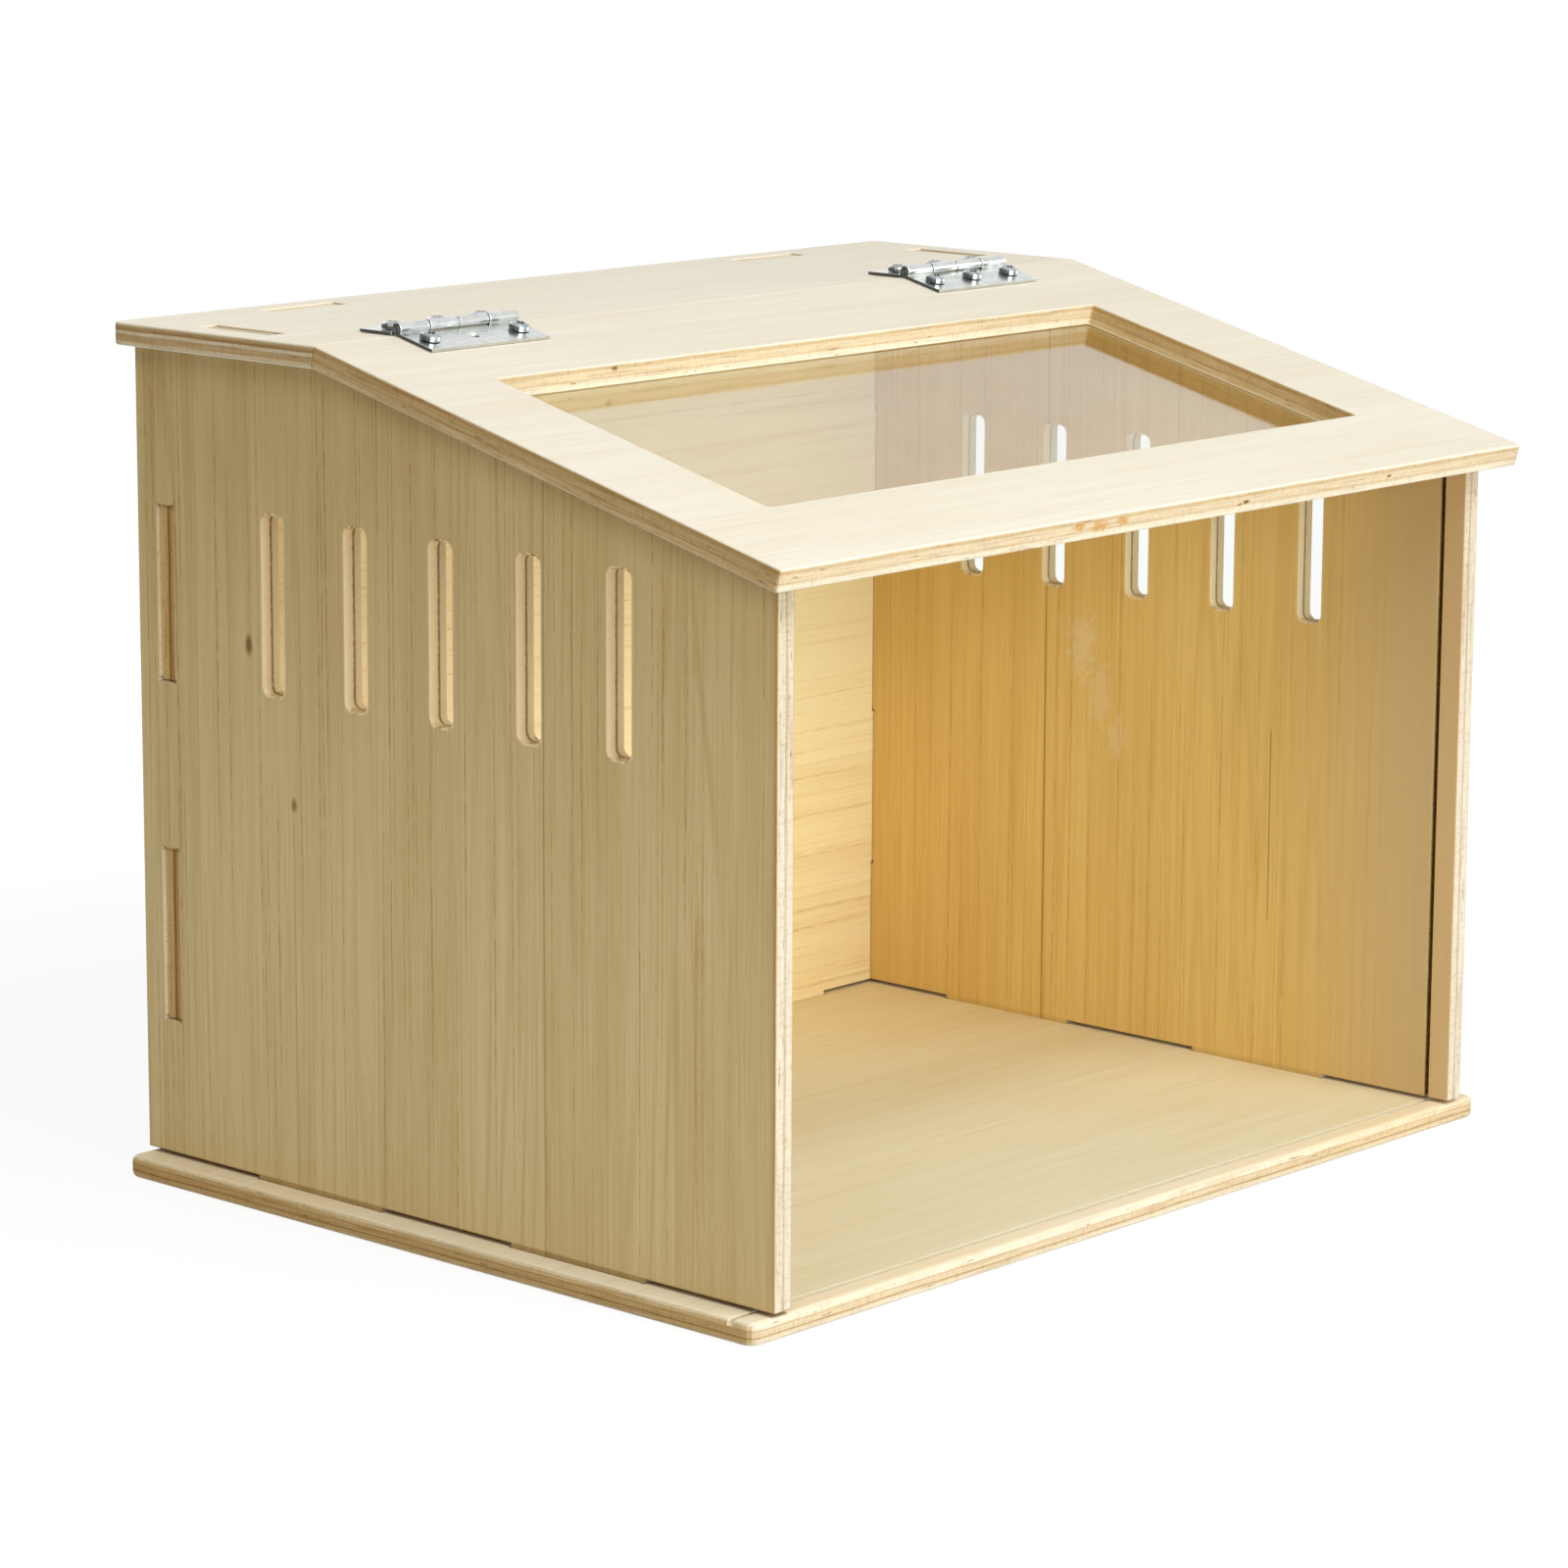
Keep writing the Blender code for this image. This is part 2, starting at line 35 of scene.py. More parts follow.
class Shade:
    """A shader socket that takes part in sums. Each operator adds the node that works it out."""

    def __init__(self, tree, socket):
        self.tree = tree
        self.socket = socket

    def node(self, kind, settings, inputs, output=0):
        """Add a node, first its settings and then the values or links of its sockets, and give an output."""
        made = self.tree.nodes.new(kind)
        for setting, value in settings.items():
            if setting == "stops":
                ramp = made.color_ramp
                while len(ramp.elements) < len(value):
                    ramp.elements.new(1.0)
                for stop, (position, colour) in zip(ramp.elements, value):
                    stop.position = position
                    stop.color = colour
            else:
                setattr(made, setting, value)
        for name, value in inputs.items():
            if isinstance(value, Shade):
                self.tree.links.new(value.socket, made.inputs[name])
            else:
                made.inputs[name].default_value = value
        if not made.outputs:
            return None
        return Shade(self.tree, made.outputs[output])

    def math(self, operation, first, second=0.0):
        return self.node("ShaderNodeMath", {"operation": operation}, {0: first, 1: second})

    def __add__(self, other):
        return self.math("ADD", self, other)

    def __radd__(self, other):
        return self.math("ADD", other, self)

    def __sub__(self, other):
        return self.math("SUBTRACT", self, other)

    def __rsub__(self, other):
        return self.math("SUBTRACT", other, self)

    def __mul__(self, other):
        return self.math("MULTIPLY", self, other)

    def __rmul__(self, other):
        return self.math("MULTIPLY", other, self)

    def __truediv__(self, other):
        return self.math("DIVIDE", self, other)

    def __pow__(self, other):
        return self.math("POWER", self, other)

    def __abs__(self):
        return self.math("ABSOLUTE", self)

    def fract(self):
        return self.math("FRACT", self)

    def at_least(self, bound):
        return self.math("MAXIMUM", self, bound)

    def parts(self):
        """The three coordinates of a vector."""
        return [self.node("ShaderNodeSeparateXYZ", {}, {0: self}, axis) for axis in range(3)]

    def rise(self, low, high):
        """0 up to low, 1 from high on, and a smooth step between them."""
        settings = {"interpolation_type": "SMOOTHSTEP"}
        return self.node("ShaderNodeMapRange", settings, {"Value": self, "From Min": low, "From Max": high})

    def blend(self, first, second):
        """The colour that is this share of the way from the first to the second."""
        return self.node("ShaderNodeMix", {"data_type": "RGBA"}, {0: self, 6: first, 7: second}, 2)

    def tint_over(self, colour, tint):
        """A colour with this share of a tint laid over it."""
        settings = {"data_type": "RGBA", "blend_type": "MULTIPLY"}
        return self.node("ShaderNodeMix", settings, {0: self, 6: colour, 7: tint}, 2)


def tone(red, green, blue):
    """A colour in sRGB steps from 0 to 255, as the linear colour that a socket takes."""
    linear = []
    for step in (red, green, blue):
        share = step / 255
        linear.append(share / 12.92 if share <= 0.04045 else ((share + 0.055) / 1.055) ** 2.4)
    return (*linear, 1.0)


def new_material(name):
    """An empty material, and the rest place of the point that it colours."""
    made = bpy.data.materials.new(name)
    made.use_nodes = True
    made.node_tree.nodes.clear()
    start = made.node_tree.nodes.new("ShaderNodeTexCoord")
    return made, Shade(made.node_tree, start.outputs["Object"])


def speckle(first, second, third, detail):
    """Even noise about one half, over three coordinates already divided by the size of a speckle."""
    point = first.node("ShaderNodeCombineXYZ", {}, {0: first, 1: second, 2: third})
    return point.node("ShaderNodeTexNoise", {}, {"Vector": point, "Scale": 1.0, "Detail": detail})


def spot(along, across, place, radius, blur):
    """1 in the middle of an oval that is twice as long as it is wide, with the grain, and 0 outside it."""
    long_way = (along - place[0]) / (2.0 * radius)
    short_way = (across - place[1]) / radius
    distance = (long_way * long_way + short_way * short_way) ** 0.5
    return 1 - (distance + blur).rise(0.25, 1.0)


def plywood(along, across, depth, faces, plies, end_grain, figure, seams=(), knots=(), stains_and_shade=(), tones_and_light=()):
    """Colour a sheet by the place in it: veneers on its faces, plies where its edges are cut.

    along and across run with and across the face grain, and depth goes in from the outer face.
    faces gives the pale and the deep tone of the outer and of the inner face.
    plies gives the depth in millimetres and the tone of each layer.
    end_grain is the share of a cut that goes across the face grain.
    figure is how strongly the veneer's veins and flecks show.
    seams are (place across, start, end along the grain, darkness, step in tone past it) of the veneer's joints.
    knots are (place along, place across, radius, strength).
    the last two are (share, tint) of what darkens the wood, marks and painted shade among them, and (share, colour)
    of tones that cover it, painted light and highlights among them.
    """
    pores = speckle(along / 0.060, across / 0.0008, depth / 0.004, 3.0)
    streaks = speckle(along / 0.30, across / 0.007, depth / 0.010, 3.0)
    clouds = speckle(along / 0.22, across / 0.050, depth / 0.020, 2.0)
    light = (pores - 0.5) * 1.2 + (streaks - 0.5) * 0.8 + (clouds - 0.5) * 0.9 + 0.5
    for place, start, end, darkness, step in seams:
        light = light + across.rise(place - 0.0002, place + 0.0002) * step
    (outer_pale, outer_deep), (inner_pale, inner_deep) = faces
    outer = light.rise(0.0, 1.0).blend(outer_deep, outer_pale)
    inner = light.rise(0.0, 1.0).blend(inner_deep, inner_pale)
    inner_side = depth.rise(0.4 * PLY, 0.6 * PLY)
    veneer = inner_side.blend(outer, inner)

    veins = speckle(along / 0.40, across / 0.0016, depth / 0.006, 2.0).rise(0.56, 0.70)
    dashes = speckle(along / 0.008, across / 0.0008, depth / 0.004, 2.0).rise(0.40, 0.60)
    veneer = (veins * (0.2 + dashes * 0.8) * (0.52 * figure)).tint_over(veneer, VEIN_TINT)
    rings = speckle(along / 1.0, across / 0.034, depth / 0.020, 1.0) * 11.0
    ring = (1 - abs(rings.fract() - 0.5).rise(0.02, 0.20)) * clouds.rise(0.42, 0.66)
    veneer = (ring * (0.18 * figure)).tint_over(veneer, VEIN_TINT)
    flecks = speckle(along / 0.007, across / 0.0006, depth / 0.004, 2.0).rise(0.66, 0.74)
    veneer = (flecks * (0.30 * figure)).tint_over(veneer, VEIN_TINT)
    for place, start, end, darkness, step in seams:
        seam = 1 - abs(across - place + (clouds - 0.5) * 0.0016).rise(0.0001, 0.0006)
        seam = seam * along.rise(start, start + 0.004) * (1 - along.rise(end - 0.004, end)) * darkness
        veneer = (seam * pores.rise(0.2, 0.5)).tint_over(veneer, KNOT_TINT)

    waver = speckle(along / 0.060, across / 0.060, depth / 0.010, 2.0)
    level = (depth + (waver - 0.5) * 0.0012) / PLY
    stops = [(millimetres / 9.0, colour) for millimetres, colour in plies]
    layers = level.node("ShaderNodeValToRGB", {"stops": stops}, {0: level})
    fibres = speckle(along / 0.020, across / 0.020, depth / 0.00035, 3.0)
    ticks = speckle(along / 0.0011, across / 0.0011, depth / 0.0030, 2.0)
    layers = (fibres.rise(0.42, 0.74) * 0.35).tint_over(layers, FIBRE_TINT)
    layers = (ticks.rise(0.48, 0.72) * 0.25).tint_over(layers, FIBRE_TINT)
    layers = (end_grain * (0.4 + fibres * 0.6)).tint_over(layers, END_TINT)
    smears = speckle(along / 0.030, across / 0.030, depth / 0.0014, 2.0)
    layers = (smears.rise(0.54, 0.68) * 0.25).tint_over(layers, FIBRE_TINT)
    holes = speckle(along / 0.010, across / 0.010, depth / 0.0008, 1.0).rise(0.72, 0.77)
    layers = (holes * 0.7).tint_over(layers, KNOT_TINT)

    edge = depth.rise(FACE_VENEER, 2 * FACE_VENEER) * (PLY - depth).rise(FACE_VENEER, 2 * FACE_VENEER)
    colour = edge.blend(veneer, layers)
    for knot_along, knot_across, radius, strength in knots:
        knot = spot(along, across, (knot_along, knot_across), radius, (streaks - 0.5) * 0.8) * strength
        colour = (knot * (1 - inner_side)).tint_over(colour, KNOT_TINT)
    for share, laid_tone in tones_and_light:
        colour = share.blend(colour, laid_tone)
    for share, tint in stains_and_shade:
        colour = (share * (0.7 + ticks * 0.6)).tint_over(colour, tint)
    relief = pores * (1 - edge) + (fibres - holes) * edge
    normal = relief.node("ShaderNodeBump", {}, {"Strength": 0.06, "Distance": 0.0002, "Height": relief})
    sockets = {
        "Base Color": colour,
        "Roughness": 0.50 + pores * 0.16,
        "Normal": normal,
        "Specular IOR Level": 0.1,
    }
    surface = along.node("ShaderNodeBsdfPrincipled", {}, sockets)
    along.node("ShaderNodeOutputMaterial", {}, {"Surface": surface})


def cut_across(place, axis):
    """The share of a surface that faces along an axis of the part, in either sense."""
    outward = place.node("ShaderNodeTexCoord", {}, {}, "Normal").parts()
    return abs(outward[axis]).rise(0.5, 0.9)


def dress(node, made, arris):
    """Give a rigid part its material, and break its sharp edges."""
    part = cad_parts[node]
    part.data.materials.clear()
    part.data.materials.append(made)
    weld = part.modifiers.new("weld", "WELD")
    weld.merge_threshold = WELD
    flats = part.modifiers.new("flats", "DECIMATE")
    flats.decimate_type = "DISSOLVE"
    flats.angle_limit = FLAT_ANGLE
    sanding = part.modifiers.new("sanding", "BEVEL")
    sanding.width = arris
    sanding.segments = 2
    sanding.limit_method = "ANGLE"
    sanding.angle_limit = ARRIS_ANGLE
    sanding.use_clamp_overlap = False
    shading = part.modifiers.new("shading", "WEIGHTED_NORMAL")
    shading.keep_sharp = True


VEIN_TINT = (0.66, 0.47, 0.26, 1.0)
KNOT_TINT = (0.28, 0.16, 0.06, 1.0)
FIBRE_TINT = (0.56, 0.42, 0.26, 1.0)
END_TINT = (0.66, 0.52, 0.29, 1.0)
# Dark brown: scorch marks, and painted shade in the gaps at the side panels' feet.
BURN_AND_SHADE_TINT = (0.40, 0.24, 0.08, 1.0)
# Warm painted shade for the base's left end.
LEFT_END_SHADE_TINT = (1.0, 0.94, 0.80, 1.0)
# Painted shade on the floor towards the back and the right.
FLOOR_SHADE_TINT = (0.97, 0.89, 0.74, 1.0)
CUT_PALE = tone(234, 224, 199)
CUT_CREAM = tone(228, 215, 187)
CUT_SOFT = tone(222, 204, 170)
CUT_TAN = tone(208, 184, 142)
CUT_BROWN = tone(178, 146, 98)
CUT_GREY = tone(194, 178, 146)
BASE_CREAM = (tone(243, 234, 211), tone(235, 220, 186))

base_plywood, place = new_material("base_plywood")
x, y, z = place.parts()
base_plies = [
    (0.0, CUT_PALE), (2.5, CUT_PALE), (3.0, CUT_TAN), (3.5, CUT_SOFT), (5.1, CUT_SOFT), (5.6, CUT_BROWN),
    (6.1, CUT_SOFT), (7.0, CUT_PALE), (9.0, CUT_PALE),
]
# Painted shade on the base's top in the gaps under the side panels, stronger under the left one.
shade_under_sides = abs(x).rise(0.2048, 0.2052) * (1 - abs(x).rise(0.2138, 0.2142)) * z.rise(0.0085, 0.009)
base_painted_shade = [(shade_under_sides * (0.55 - x.rise(0.0, 0.1) * 0.45), BURN_AND_SHADE_TINT)]
# Painted shade: the base's left end is made warmer and darker, as a left-facing face looks in shade.
base_painted_shade.append((1 - x.rise(-0.2256, -0.2252), LEFT_END_SHADE_TINT))
# Painted shade: the base is darker and more golden towards the back and towards the right.
base_painted_shade.append((y.rise(-0.05, 0.16) * 0.6 + x.rise(0.0, 0.2) * 0.6, FLOOR_SHADE_TINT))
base_faces = (BASE_CREAM, BASE_CREAM)
plywood(x, y, PLY - z, base_faces, base_plies, cut_across(place, 0), 0.45, stains_and_shade=base_painted_shade)
dress("base_panel", base_plywood, ARRIS)

# Side panels: the same plywood with its grain upright. Five vent slots are cut through each and their rims
# sanded; a paler tone on the rims and slot walls is painted highlight and painted light. The lower and upper
# edges carry tabs, and a groove near the front edge takes the clear front.
HALF_WIDTH = 0.214
SIDE_TAN = (tone(219, 198, 147), tone(201, 175, 122))
SIDE_GOLD = (tone(240, 206, 130), tone(226, 186, 106))
# Duller tone of the inner face towards the front: painted light.
FRONT_LIGHT_TONE = tone(214, 184, 136)
SLOT_PITCH = 0.0465
SLOT_MIDDLE = (0.0064, 0.2405)
SLOT_HALF = (0.0060, 0.0355)
SLOT_ROUND = 0.0035
SLOTS_REACH = 2.5 * SLOT_PITCH
SLOT_TOPS = (0.26, 0.27)
RIM = 0.0010
# Pale tone of the slot rims and walls: painted highlight and painted light.
RIM_HIGHLIGHT_TONE = tone(248, 227, 182)
SLOT_PLY_TINT = (0.42, 0.33, 0.21, 1.0)
# Painted shade of the lid's overhang.
EAVE_SHADE_TINT = (0.76, 0.70, 0.58, 1.0)
EDGE_TINT = (0.88, 0.88, 0.91, 1.0)
GROOVE = (-0.1547, -0.1521)
GROOVE_DEPTH = 0.004
GROOVE_TINT = (0.97, 0.82, 0.52, 1.0)
SIDE_LINE = tone(214, 198, 166)
# Painted light: pale patches on the right panel's inner face.
LIGHT_PATCH_TONE = tone(236, 226, 206)
FULL = (0.0, 0.4)
left_seams = [
    (0.1674, *FULL, 0.25, 0.10),
    (0.1438, *FULL, 0.15, -0.16),
    (0.0888, 0.009, 0.160, 0.30, 0.0),
    (0.0423, *FULL, 0.15, 0.10),
    (-0.0033, *FULL, 0.15, -0.10),
    (-0.0476, *FULL, 0.45, 0.12),
    (-0.0805, *FULL, 0.15, -0.12),
    (-0.1154, *FULL, 0.15, 0.14),
]
left_knots = [(0.2238, 0.1135, 0.0030, 0.85), (0.1635, 0.0888, 0.0022, 0.75)]
right_seams = [(0.0566, *FULL, 0.75, -0.10), (-0.0680, 0.071, 0.158, 0.6, 0.08)]
# Three pale upright patches of painted light on the right panel's inner face.
right_light_patches = [(0.180, 0.036, 0.010, 0.30), (0.160, 0.026, 0.009, 0.22), (0.142, 0.016, 0.007, 0.22)]
side_plies = [
    (0.0, CUT_PALE), (3.9, CUT_PALE), (4.5, SIDE_LINE), (5.3, SIDE_LINE), (5.9, CUT_PALE), (9.0, CUT_PALE),
]

for node, side, figure, seams, knots, light_patches in (
    ("left_side_panel", 1, 1.45, left_seams, left_knots, ()),
    ("right_side_panel", -1, 0.9, right_seams, (), right_light_patches),
):
    side_plywood, place = new_material(node + "_plywood")
    x, y, z = place.parts()
    depth = HALF_WIDTH + side * x
    grit = speckle(y / 0.003, z / 0.003, x / 0.003, 2.0)

    # The groove's walls are tinted, and darker towards its bottom.
    groove = y.rise(GROOVE[0] - 0.0002, GROOVE[0]) * (1 - y.rise(GROOVE[1], GROOVE[1] + 0.0002))
    groove = groove * depth.rise(PLY - GROOVE_DEPTH - 0.0005, PLY - GROOVE_DEPTH) * (1 - depth.rise(0.0086, 0.0089))
    towards_groove_bottom = groove * (1 - depth.rise(0.0072, 0.0080))

    from_slot = (((y - SLOT_MIDDLE[0]) / SLOT_PITCH + 0.5).fract() - 0.5) * SLOT_PITCH
    past_side = (abs(from_slot) - (SLOT_HALF[0] - SLOT_ROUND)).at_least(0.0)
    past_end = (abs(z - SLOT_MIDDLE[1]) - (SLOT_HALF[1] - SLOT_ROUND)).at_least(0.0)
    off_rim = (past_side * past_side + past_end * past_end) ** 0.5 - SLOT_ROUND
    by_slots = 1 - abs(y - SLOT_MIDDLE[0]).rise(SLOTS_REACH - 0.001, SLOTS_REACH)
    rim = (1 - (off_rim + (grit - 0.5) * 0.0006).rise(0.5 * RIM, RIM)) * by_slots
    inside = (1 - off_rim.rise(0.0001, 0.0003)) * by_slots * depth.rise(0.0002, 0.0004)
    ply_line = (1 - abs(depth - 0.0049 + (grit - 0.5) * 0.0008).rise(0.0002, 0.0009)) * (0.5 + grit)
    at_ends = abs(z - SLOT_MIDDLE[1]).rise(SLOT_HALF[1] - 0.0015, SLOT_HALF[1])
    scorch = rim * at_ends * grit.rise(0.45, 0.65) * (0.5 + z.rise(*SLOT_TOPS) * 0.5)
    # Painted shade at the foot of each side panel, by its gap over the base, stronger on the left panel.
    foot_shade = 1 - z.rise(PLY + 0.0016, PLY + 0.0024)
    outside = 1 - depth.rise(0.0002, 0.0004)
    by_corner = (1 - y.rise(-0.1640, -0.1615)) * outside

    front_edge = (1 - y.rise(-0.1646, -0.1643)) * (1 - outside)
    indoors = depth.rise(0.0084, 0.0087)
    # Painted light: the inner face turns duller and less golden towards the front, away from the warm light bounced
    # deep in the box.
    at_front = (1 - y.rise(-0.165, -0.060)) * indoors
    # The rims and slot walls take a paler tone as painted highlight and painted light.
    tones_and_light = [(rim * 0.85, RIM_HIGHLIGHT_TONE), (at_front, FRONT_LIGHT_TONE)]
    # Painted light: pale upright patches on the inner face.
    for patch_along, patch_across, radius, strength in light_patches:
        light_patch = spot(z, y, (patch_along, patch_across), radius, (grit - 0.5) * 2.0) * strength
        tones_and_light.append((light_patch * indoors, LIGHT_PATCH_TONE))
    stains_and_shade = [
        (inside * ply_line, SLOT_PLY_TINT),
        (scorch, BURN_AND_SHADE_TINT),
        (groove, GROOVE_TINT),
        (towards_groove_bottom, BURN_AND_SHADE_TINT),
        (foot_shade * (0.35 + side * 0.2), BURN_AND_SHADE_TINT),
        (by_corner * 0.4, VEIN_TINT),
        (front_edge, EDGE_TINT),
        # Painted shade: darker towards the top, under the lid's overhang.
        (z.rise(0.12, 0.34) * 0.6, EAVE_SHADE_TINT),
    ]
    end_grain = cut_across(place, 2) * (1 - z.rise(0.338, 0.342))
    plywood(z, y, depth, (SIDE_TAN, SIDE_GOLD), side_plies, end_grain, figure, seams, knots, stains_and_shade, tones_and_light)
    dress(node, side_plywood, ARRIS)

# Back panel: the same plywood, grain across, set in from the side panels' back edges. It is held by tabs on
# all four of its edges.
BACK_FACE = 0.166415
BACK_GOLD = (tone(248, 230, 184), tone(238, 210, 152))
# Painted shade for the tabs in the side panels' mortises.
TAB_END_SHADE_TINT = (1.0, 0.86, 0.62, 1.0)

back_plywood, place = new_material("back_plywood")
x, y, z = place.parts()
back_plies = [
    (0.0, CUT_PALE), (3.9, CUT_PALE), (4.4, CUT_BROWN), (5.4, CUT_BROWN), (5.9, CUT_SOFT), (9.0, CUT_SOFT),
]
tab_ends = [(z.rise(0.338, 0.342) * 0.9, CUT_PALE)]
back_faces = (BACK_GOLD, BACK_GOLD)
back_seams = [(0.117, -0.3, 0.3, 0.12, 0.35)]
# Painted shade: the back panel's tabs in the side panels' mortises are darker and warmer.
back_painted_shade = [(abs(x).rise(0.2055, 0.2065), TAB_END_SHADE_TINT)]
back_end = cut_across(place, 0)
plywood(
    x, z, BACK_FACE - y, back_faces, back_plies, back_end, 0.8, back_seams, stains_and_shade=back_painted_shade, tones_and_light=tab_ends,
)
dress("back_panel", back_plywood, ARRIS)

# Roof panel: the fixed rear part of the top, grain across, rounded over on its outer edges. The side and
# back panels' tabs come up through its mortises.
ROOF_TOP = 0.346
TOP_CREAM = (tone(234, 229, 213), tone(226, 217, 193))
ROOF_CREAM = (tone(245, 239, 223), tone(237, 228, 205))

roof_plywood, place = new_material("roof_plywood")
x, y, z = place.parts()
roof_plies = [
    (0.0, CUT_PALE), (0.7, CUT_PALE), (1.1, CUT_TAN), (2.8, CUT_BROWN), (3.2, CUT_PALE), (4.3, CUT_PALE),
    (4.6, CUT_GREY), (5.0, CUT_TAN), (6.9, CUT_TAN), (7.4, CUT_PALE), (9.0, CUT_PALE),
]
plywood(x, y, ROOF_TOP - z, (ROOF_CREAM, ROOF_CREAM), roof_plies, cut_across(place, 0) * 0.7, 0.3)
dress("roof_panel", roof_plywood, ARRIS)

# Lid frame: one plywood sheet with a window sawn out of it, grain across, rounded over on its outer edges.
# It hangs on two hinges along the ridge and rests on the side panels' sloped edges.
RIDGE = 0.061415
LID_SLOPE = radians(13.9)

lid_plywood, place = new_material("lid_plywood")
x, y, z = place.parts()
under_top = (ROOF_TOP - RIDGE * tan(LID_SLOPE) + y * tan(LID_SLOPE) - z) * cos(LID_SLOPE)
lid_plies = [
    (0.0, CUT_PALE), (0.6, CUT_PALE), (1.2, CUT_TAN), (2.0, CUT_TAN), (2.6, CUT_SOFT), (5.0, CUT_SOFT),
    (5.6, CUT_TAN), (6.2, CUT_CREAM), (7.6, CUT_PALE), (9.0, CUT_PALE),
]
LID_FRONT = -0.174
RESIN_TINT = (0.86, 0.60, 0.30, 1.0)
EMPTY_HOLE = (-0.1513, 0.0487)
fuzz = (speckle(x / 0.004, y / 0.004, z / 0.0012, 3.0) - 0.5) * 1.4
at_front = 1 - y.rise(LID_FRONT, LID_FRONT + 0.001)
lid_stains = [(spot(x, y, EMPTY_HOLE, 0.0022, -0.5) * (1 - under_top.rise(0.001, 0.002)), BURN_AND_SHADE_TINT)]
for knot_x, knot_depth, radius in ((-0.060, 0.0030, 0.0022), (-0.047, 0.0042, 0.0030), (-0.034, 0.0036, 0.0024)):
    lid_stains.append((spot(x, under_top, (knot_x, knot_depth), radius, fuzz) * at_front, RESIN_TINT))
for void_x, void_depth, radius in ((0.0385, 0.0052, 0.0010), (0.0425, 0.0046, 0.0012), (0.1359, 0.0040, 0.0009)):
    lid_stains.append((spot(x, under_top, (void_x, void_depth), radius, fuzz) * at_front, KNOT_TINT))
behind_window = y.rise(0.0, 0.005) * (1 - y.rise(0.02, 0.03))
lid_stains.append((spot(x, under_top, (-0.1132, 0.0022), 0.0012, fuzz) * behind_window, BURN_AND_SHADE_TINT))
lid_faces = (TOP_CREAM, TOP_CREAM)
plywood(x, y, under_top, lid_faces, lid_plies, cut_across(place, 0) * 1.2, 0.3, stains_and_shade=lid_stains)
dress("lid_frame", lid_plywood, ARRIS)

# Clear sheets: 2 mm acrylic with polished faces. The window pane is fixed under the lid frame. The front pane
# stands in the side panels' grooves. Its foot in the base's groove is painted a pale wood colour, painted light
# that hides the groove's shade.
CLEAR = (0.97, 0.985, 0.98, 1.0)
WINDOW_CLEAR = (0.95, 0.955, 0.955, 1.0)
CLEAR_FILM = (0.94, 0.96, 0.87, 1.0)


def acrylic(name, body, reflection, haze, reach):
    """A clear sheet: what is behind it, and over that, as far out as its edges, the reflection in its face."""
    made, place = new_material(name)
    x, y, z = place.parts()
    dust = speckle(x / 0.030, y / 0.030, z / 0.030, 4.0)
    sheen = place.node("ShaderNodeFresnel", {}, {"IOR": 1.49})
    facing = 1 - place.node("ShaderNodeNewGeometry", {}, {}, "Backfacing")
    share = (sheen * facing * reflection + dust.rise(0.3, 0.8) * haze) * (1 - abs(x).rise(reach - 0.001, reach))
    behind = place.node("ShaderNodeBsdfTransparent", {}, {"Color": body})
    sockets = {"Base Color": CLEAR_FILM, "Metallic": 1.0, "Roughness": 0.05 + dust * 0.06}
    mirror = place.node("ShaderNodeBsdfPrincipled", {}, sockets)
    sheet = place.node("ShaderNodeMixShader", {}, {0: share, 1: behind, 2: mirror})
    # Painted light: the foot in the base's groove is a pale wood colour that hides the groove's shade.
    groove_fill = place.node("ShaderNodeBsdfDiffuse", {}, {"Color": CUT_PALE})
    foot = 1 - z.rise(PLY - 0.0003, PLY)
    surface = place.node("ShaderNodeMixShader", {}, {0: foot, 1: sheet, 2: groove_fill})
    place.node("ShaderNodeOutputMaterial", {}, {"Surface": surface})
    return made


for node, body, reflection, haze, reach in (
    ("window_pane", WINDOW_CLEAR, 1.6, 0.02, 0.3),
    ("front_pane", CLEAR, 0.12, 0.0, 0.2045),
):
    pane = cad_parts[node]
    pane.data.materials.clear()
    pane.data.materials.append(acrylic(node + "_acrylic", body, reflection, haze, reach))

# Hinges: two steel butt hinges, zinc plated. Each has a leaf on the roof and a leaf on the lid, rolled into
# knuckles about a steel pin.
METAL_ARRIS = 0.0002
LEAF_ZINC = (tone(222, 224, 221), tone(200, 204, 202))
# Painted shade for faces that look along the hinge line.
END_SHADE_ZINC = tone(84, 86, 84)


def zinc_plate(name, pale, deep):
    """Plated steel with a faint bloom. Faces that look along the hinge line, the ends of the leaves, knuckles and
    pins and the sides of the screws, are darkened as painted shade.
    """
    made, place = new_material(name)
    x, y, z = place.parts()
    bloom = speckle(x / 0.004, y / 0.004, z / 0.004, 4.0)
    brush = speckle(x / 0.012, y / 0.0004, z / 0.0004, 2.0)
    wear = bloom * 0.6 + brush * 0.4
    plated = wear.rise(0.35, 0.65).blend(deep, pale)
    sockets = {
        # Painted shade on faces that look along the hinge line.
        "Base Color": cut_across(place, 0).blend(plated, END_SHADE_ZINC),
        "Metallic": 1.0,
        "Roughness": 0.16 + bloom * 0.10,
    }
    plate = place.node("ShaderNodeBsdfPrincipled", {}, sockets)
    place.node("ShaderNodeOutputMaterial", {}, {"Surface": plate})
    return made


leaf_zinc = zinc_plate("leaf_zinc", *LEAF_ZINC)
for hinge in ("left_hinge", "right_hinge"):
    for part in ("roof_leaf", "lid_leaf", "pin"):
        dress(f"{hinge}_{part}", leaf_zinc, METAL_ARRIS)

